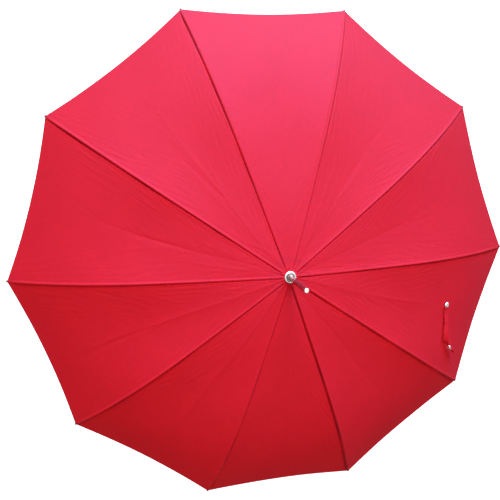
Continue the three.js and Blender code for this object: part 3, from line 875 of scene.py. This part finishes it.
def tubeWithWindows(outer, inner, bottom, top, windows, width, segments=72):
    # columns of the tube's grid stand on the edges of the windows, and rows on their ends; the faces between
    # them are left out of both walls, and four short walls line each window
    half = math.asin(width / 2 / outer)
    angles = np.linspace(noseAzimuth + half, noseAzimuth + 2 * math.pi - half, segments)
    ends = [end for window in windows for end in window]
    heights = np.array(sorted({*ends, *np.linspace(bottom, top, 12)}))
    count, rows = len(angles), len(heights)
    walls = [polar(radius, angles, heights[:, None]).reshape(-1, 3) for radius in (outer, inner)]
    inward = rows * count
    quads = gridQuads(rows, count, wrap=True).reshape(rows - 1, count, 4)
    middles = (heights[:-1] + heights[1:]) / 2
    opened = np.zeros((rows - 1, count), bool)
    for low, high in windows:
        opened[(middles > low) & (middles < high), count - 1] = True
    faces = [quads[~opened][:, ::-1], quads[~opened] + inward]
    for row, flip in ((0, True), (rows - 1, False)):
        index = np.arange(count) + row * count
        faces.append(between(index, np.roll(index, -1), inward, flip))
    for low, high in windows:
        lowRow, highRow = np.searchsorted(heights, low), np.searchsorted(heights, high)
        for row, flip in ((lowRow, False), (highRow, True)):
            faces.append(between(row * count + count - 1, row * count, inward, flip))
        steps = np.arange(lowRow, highRow)
        for column, flip in ((count - 1, True), (0, False)):
            faces.append(between(steps * count + column, (steps + 1) * count + column, inward, flip))
    return np.concatenate(walls), np.concatenate(faces), noTriangles


def catchWindow(face, direction):
    ends = (face + 0.6 * direction, face - (catchNose["height"] + 0.6) * direction)
    return min(ends), max(ends)


shaftShape = tubeWithWindows(tube["radius"], tube["radius"] - tube["wall"], shaftBottom, shaftTop,
                             [catchWindow(catchNose["topFace"], 1), catchWindow(catchNose["bottomFace"], -1)],
                             catchNose["width"] + 0.8)
addPiece("shaft_tube", shaftShape, reflectionTintedSteel, "frame", ["shaft"])

addHub("crown_nylon", crownPivot[2], [], "frame")
runnerLow = runnerPivot[2] - sleeve["length"]
foldLimit = math.radians(joints["fold"]["range_deg"][1])
linkLength = np.linalg.norm(bracket3 - crown3)
bracketAngle = math.atan2(crown3[2] - bracket3[2], bracket3[0] - crown3[0])
loweredRunner = crownPivot[2] - 2 * linkLength * math.sin(bracketAngle + foldLimit)
windowLow = runnerPivot[2] + catchNose["bottomFace"] - loweredRunner - 1.5
sleeveShape = tubeWithWindows(sleeve["radius"], hub["bore"], runnerLow, runnerPivot[2] - hub["below"],
                              [(windowLow, windowLow + catchNose["height"] + 3)], catchNose["width"] + 1)
grips = [turned([(sleeve["radius"] - 0.2, z - 0.7), *arcRun(7, -80, 80, 0.7, (sleeve["radius"] - 0.1, z)),
                 (sleeve["radius"] - 0.2, z + 0.7), (sleeve["radius"] - 0.2, z - 0.7)], 64)
         for z in (runnerLow + 2.0, runnerLow + 4.6)]
addHub("runner_nylon", runnerPivot[2], [sleeveShape, *grips], "runner")


def addCatch(name, face, direction):
    # a bent leaf: straight inside the tube, out through the window, and back
    z = face - direction * np.array([38, 30, 20, 12, 8.0, 5.5, 3.2, 1.6, 0.5])
    r = np.array([1.8, 1.8, 1.8, 1.8, 2.2, 3.4, 4.7, 5.6, 5.9])
    path = polar(r, noseAzimuth, z)
    side = (-math.sin(noseAzimuth), math.cos(noseAzimuth), 0)
    leaf = swept(path, barSection(catchNose["width"], 0.7, 0.12), side)
    back = np.array([[5.9, -0.45], [4.6, -0.4], [2.2, -0.4]])
    back = polar(back[:, 0], noseAzimuth, face + direction * back[:, 1])
    lip = swept(back, barSection(catchNose["width"], 0.7, 0.12), side)
    addPiece(f"{name}_spring", joined([leaf, lip]), springSteel, name, [name])


addCatch("top_catch", catchNose["topFace"], 1)
addCatch("bottom_catch", catchNose["bottomFace"], -1)
print("shaft and runner ready")

# ---- ferrule, cap and rosette ----

cap = {"base": 3.6, "radius": 11.0, "ringInside": 7.2, "coneTop": 12.4, "neck": 5.0}
base = crownPivot[2] + cap["base"]
flange = [(hub["bore"], base), (cap["radius"] - 1.2, base)]
flange += arcRun(7, -90, 0, 1.2, (cap["radius"] - 1.2, base + 1.2))
flange += arcRun(12, 0, 180, (cap["radius"] - cap["ringInside"]) / 2,
                 ((cap["radius"] + cap["ringInside"]) / 2, base + 1.5))
flange += [(cap["ringInside"], base + 0.8), (hub["bore"], base + 0.8), (hub["bore"], base)]
addPiece("ferrule_cap_flange", turned(flange, 96), satinNickel, "frame", ["ferrule_cap"])
# the cone in the darker nickel: painted shade for the dark reflections inside the ring
cone = [(hub["bore"], base + 1.0), (cap["ringInside"] - 0.3, base + 1.0)]
cone += [(cap["ringInside"] - 0.3 - 1.7 * s ** 0.7, base + 1.3 + 9.6 * s) for s in np.linspace(0, 1, 12)]
cone += arcRun(7, -60, 90, 0.45, (cap["neck"] - 0.35, base + cap["coneTop"] - 0.5))
cone += [(hub["bore"], base + cap["coneTop"] - 0.05), (hub["bore"], base + 1.0)]
addPiece("ferrule_cap_cone", turned(cone, 96), shadedNickel, "frame")

tip = {"radius": 4.1, "spigot": 2.9, "bevel": 1.2, "button": 2.4}
tipSeat = tipTop - tip["button"]
tipProfile = [(0, shaftTop - 10), (tip["spigot"], shaftTop - 10), (tip["spigot"], shaftTop + 0.3),
              (tip["radius"] - 0.2, shaftTop + 0.3), (tip["radius"], shaftTop + 0.6), (tip["radius"], tipSeat - 0.3),
              (tip["radius"] - 0.3, tipSeat), (0, tipSeat)]
addPiece("ferrule_tip_steel", turned(tipProfile, 64), reflectionTintedSteel, "frame", ["ferrule_tip"])
button = [(0, tipSeat - 1), (3.2, tipSeat - 1), (3.2, tipSeat + 0.15), (tip["radius"] - 0.1, tipSeat + 0.15)]
button += arcRun(8, 0, 80, tip["bevel"], (tip["radius"] - 0.1 - tip["bevel"], tipTop - tip["bevel"]))
button += [(1.3, tipTop), (1.05, tipTop - 0.15), (0.8, tipTop - 0.6), (0, tipTop - 0.7)]
addPiece("ferrule_tip_nickel", turned(button, 64), satinNickel, "frame")

rosette = {"radius": 16.0, "inner": 4.6, "pleats": 17}


def addRosette():
    # a small round of cloth between the cap and the canopy; its edge is puckered
    angles = np.linspace(0, 2 * math.pi, 217)[:-1]
    radii = np.linspace(rosette["inner"], rosette["radius"], 12)[:, None]
    grow = np.clip((radii - 9) / 5, 0, 1)
    frill = np.sin(rosette["pleats"] * angles + 1.1 * np.sin(3 * angles)) * 1.3 * grow
    edge = radii * (1 + 0.03 * grow * np.sin(rosette["pleats"] * angles * 0.5 + 1))
    z = base - 0.35 - 0.12 * (radii - 9).clip(0) + frill * (0.6 + 0.4 * np.sin(2 * angles + 1))
    upper = polar(edge, angles, z).reshape(-1, 3)
    count = len(upper)
    quads = gridQuads(12, 216, wrap=True)
    index = np.arange(216)
    rims = []
    for first, flip in ((0, True), (11 * 216, False)):
        a, b = first + index, first + np.roll(index, -1)
        rim = np.stack([a, a + count, b + count, b], axis=-1)
        rims.append(rim[:, ::-1] if flip else rim)
    shape = (np.concatenate([upper, upper - (0, 0, 0.25)]), np.concatenate([quads, quads[:, ::-1] + count, *rims]),
             noTriangles)
    piece = addPiece("rosette", shape, canopyCloth, "frame", uv=np.tile(upper[:, :2], (2, 1)))


addRosette()
print("ferrule ready")

# ---- handle ----

crook = {"radius": 10.0, "bend": 38.0, "bendHeight": -35.0, "top": 60.0, "end": -18.0}


def addHandle():
    # a circle carried down the axis, round half a turn and up again, a little slimmer towards its round end
    straight, arc = crook["top"] - crook["bendHeight"], math.pi * crook["bend"]
    rise = crook["end"] - crook["bendHeight"] - 6
    s = np.concatenate([np.linspace(0, straight, 30), straight + np.linspace(0, arc, 60)[1:],
                        straight + arc + np.linspace(0, rise, 6)[1:]])
    angle = np.clip((s - straight) / crook["bend"], 0, math.pi)
    x = crook["bend"] * (1 - np.cos(angle))
    z = np.where(s < straight, crook["top"] - s, crook["bendHeight"] - crook["bend"] * np.sin(angle))
    z = z + np.clip(s - straight - arc, 0, None)
    dome = np.linspace(0, math.pi / 2, 9)[1:]
    path = np.stack([np.concatenate([x, np.full(8, x[-1])]), np.zeros(len(x) + 8),
                     np.concatenate([z, z[-1] + 6 * np.sin(dome)])], axis=-1)
    slim = 1 - 0.06 * (s / s[-1]) ** 2
    sizes = np.concatenate([slim, slim[-1] * np.maximum(np.cos(dome), 0.02)])
    sizes[:2] = (0.93, 0.985)
    path[1, 2] = path[0, 2] - 0.6
    shape = swept(path, roundSection(crook["radius"], 64), (0, 1, 0), sizes)
    run = np.repeat(np.concatenate([s, s[-1] + 6 * np.sin(dome)]), 64)
    turn = np.tile(np.arange(64) * 2 * math.pi * crook["radius"] / 64, len(path))
    fold = np.minimum(turn, 2 * math.pi * crook["radius"] - turn)
    addPiece("handle_wood", shape, bentAsh, "frame", ["handle"], uv=np.stack([fold, run], axis=-1))
    top = crook["top"]
    collar = [(4.05, top - 0.5), (9.6, top - 0.5), (10.0, top - 9), (10.25, top - 9), (10.25, top - 0.6)]
    collar += arcRun(6, 0, 90, 1.0, (9.25, top - 0.6))
    collar += [(4.6, top + 0.4), (4.3, top + 0.1), (4.05, top - 0.5)]
    addPiece("handle_collar", turned(collar, 72), chromePlate, "frame")


addHandle()
print("handle ready")

# ---- tie strap ----

strap = {"rib": 7, "width": 10.0, "length": 130.0, "fold": 0.9, "turn": 1.55,
         "places": [(-211.5, -300, 0.8), (-230, -297, 4), (-248, -291.5, 7), (-266.5, -284.5, 8), (-282, -281, 8),
                    (-295, -283, 8), (-306, -290, 9), (-315, -294, 9), (-325, -298, 9)]}
strapRoot = jointPlace("strap_swing")
strapNormal = np.array(joints["strap_swing"]["axis"])
snapSize = {"radius": 5.8, "height": 2.8}
endSnap = {"place": -17, "radius": 5.6, "height": 2.6, "rivetRadius": 3.6, "rivetHeight": 1.6, "proud": 0.4}


def snapProfile(radius, height):
    # a pressed cap: rolled edge, domed ring and a hollow middle
    return ([(0, 0)] + [(radius - 0.9, 0)] + arcRun(6, -90, 60, 0.9, (radius - 0.9, 0.9))
            + arcRun(8, 70, 110, 3.2, (radius - 2.4, height - 3.2))
            + [(1.6, height - 0.9), (1.2, height - 1.2), (0, height - 1.25)])


snapFoot = strapRoot + strapNormal * 0.4
addPiece("strap_snap_chrome", turned(snapProfile(snapSize["radius"], snapSize["height"]), 48, snapFoot, strapNormal),
         satinNickel, "strap_snap", ["strap_snap"])


def strapPath():
    # a smooth run through a few places (x, y, lift off the cloth), evenly spaced along its length
    places = np.array(strap["places"], float)
    step = np.linalg.norm(np.diff(places[:, :2], axis=0), axis=1)
    run = np.concatenate([[0], np.cumsum(step)])
    share = np.linspace(0, 1, 81)
    flat = np.column_stack([np.interp(share * run[-1], run, places[:, k]) for k in range(3)])
    padded = np.concatenate([2 * flat[:1] - flat[9:0:-1], flat, 2 * flat[-1:] - flat[-2:-11:-1]])
    flat = np.column_stack([np.convolve(padded[:, k], np.ones(19) / 19, "valid") for k in range(3)])
    there = rotatedZ(np.column_stack([flat[:, :2], 0 * share]), -strap["rib"] * gore)
    z = clothHeight(there[:, 0], there[:, 1], strap["rib"]) + flat[:, 2]
    return np.column_stack([flat[:, :2], z]), share


def addStrap():
    # The strap is a folded and stitched band. It leaves the cloth beside the snap, hangs a little clear of
    # it, and its free end stands on edge, so that the second half of the snap is seen from the side.
    path, share = strapPath()
    side = np.cross(strapNormal, path[40] - path[0])
    width = np.clip(0.7 + share * 4, 0, 1) * (1 - 0.12 * np.sin(share * 23) ** 2)
    width *= np.clip((1 - share) * 14, 0.25, 1) ** 0.5
    sizes = np.column_stack([width, np.ones_like(width)])
    turn = strap["turn"] * np.clip((share - 0.4) / 0.38, 0, 1) ** 1.5 + 0.22 * np.sin(share * 19) * np.sin(share * 3)
    turn += 0.35 * np.sin(share * 3.1) + 0.16 * np.sin(share * 61) + 0.12 * np.sin(share * 37 + 1)
    band = swept(path, barSection(strap["width"], strap["fold"], 0.2), side, sizes, turn)
    uv = np.column_stack([np.tile(np.linspace(0, 20, 12), 81), np.repeat(share * strap["length"], 12)])
    piece = addPiece("tie_strap_cloth", band, strapCloth, "tie_strap", ["tie_strap"], uv=uv)
    up = sideAndUp(path, side, turn)[1]
    centre, out = path[endSnap["place"]], up[endSnap["place"]]
    addPiece("strap_end_snap", turned(snapProfile(endSnap["radius"], endSnap["height"]), 40,
                                      centre + endSnap["proud"] * out, out),
             satinNickel, "tie_strap")
    addPiece("strap_end_rivet", turned(snapProfile(endSnap["rivetRadius"], endSnap["rivetHeight"]), 32,
                                       centre - endSnap["proud"] * out, -out),
             satinNickel, "tie_strap")


addStrap()
print("strap ready")

# ---- floor, light and camera ----

studio = {
    "floor": 1.7,
    "keyPower": 106.0,
    "skyPower": 27.0,
    "windowPower": 660.0,
    "worldStrength": 0.27,
}
floorMaterial, _, floorShader = newMaterial("paleFloor", Roughness=0.9)
floorShader.inputs["Base Color"].default_value = (0.9, 0.9, 0.9, 1)
floorShader.inputs["Emission Color"].default_value = (1, 1, 1, 1)
floorShader.inputs["Emission Strength"].default_value = 0.95
floorHeight = cadBox[0].z - 0.001
angles = np.linspace(0, 2 * math.pi, 97)[:-1]
floorMesh = bpy.data.meshes.new("floor")
floorMesh.from_pydata([(studio["floor"] * math.cos(a), studio["floor"] * math.sin(a), floorHeight) for a in angles],
                      [], [tuple(range(96))])
floorMesh.materials.append(floorMaterial)
floor = bpy.data.objects.new("floor", floorMesh)
bpy.context.scene.collection.objects.link(floor)

# the camera looks down on the canopy from beside the shaft
camera = {"place": (270.1, 152.2, 1568.2), "aim": (42.1, 34.9, 505.0), "up": (0.917, -0.367, -0.156), "lens": 38.33}


def aimed(obj, place, aim, up=(0, 0, 1)):
    back = (Vector(place) - Vector(aim)).normalized()
    right = Vector(up).cross(back).normalized()
    turn = Matrix((right, back.cross(right), back)).transposed()
    obj.matrix_world = Matrix.Translation(Vector(place)) @ turn.to_4x4()


cameraData = bpy.data.cameras.new("camera")
cameraData.lens = camera["lens"]
cameraData.sensor_width = 36
cameraData.clip_start, cameraData.clip_end = 0.05, 50
cameraObject = bpy.data.objects.new("camera", cameraData)
bpy.context.scene.collection.objects.link(cameraObject)
aimed(cameraObject, Vector(camera["place"]) * mm, Vector(camera["aim"]) * mm, camera["up"])
bpy.context.scene.camera = cameraObject


def softLight(name, place, size, power, colour, glossOnly=False):
    data = bpy.data.lights.new(name, "AREA")
    data.shape, data.size, data.energy, data.color = "DISK", size, power, colour
    light = bpy.data.objects.new(name, data)
    bpy.context.scene.collection.objects.link(light)
    aimed(light, place, (0, 0, 0.6), (0, 1, 0.1))
    light.visible_diffuse = not glossOnly


softLight("keyLight", (3.11, -1.04, 2.9), 1.5, studio["keyPower"], (1.0, 1.0, 1.0))
softLight("skyLight", (0.3, 0.0, 3.4), 2.2, studio["skyPower"], (1.0, 1.0, 1.0))
softLight("windowGlow", (2.56, -1.36, 1.95), 2.0, studio["windowPower"], (0.75, 0.8, 1.0), glossOnly=True)
world = bpy.data.worlds.new("studio")
world.use_nodes = True
world.node_tree.nodes["Background"].inputs["Color"].default_value = (1, 1, 1, 1)
world.node_tree.nodes["Background"].inputs["Strength"].default_value = studio["worldStrength"]
bpy.context.scene.world = world
bpy.context.scene.view_settings.view_transform = "Standard"
print("stage ready")
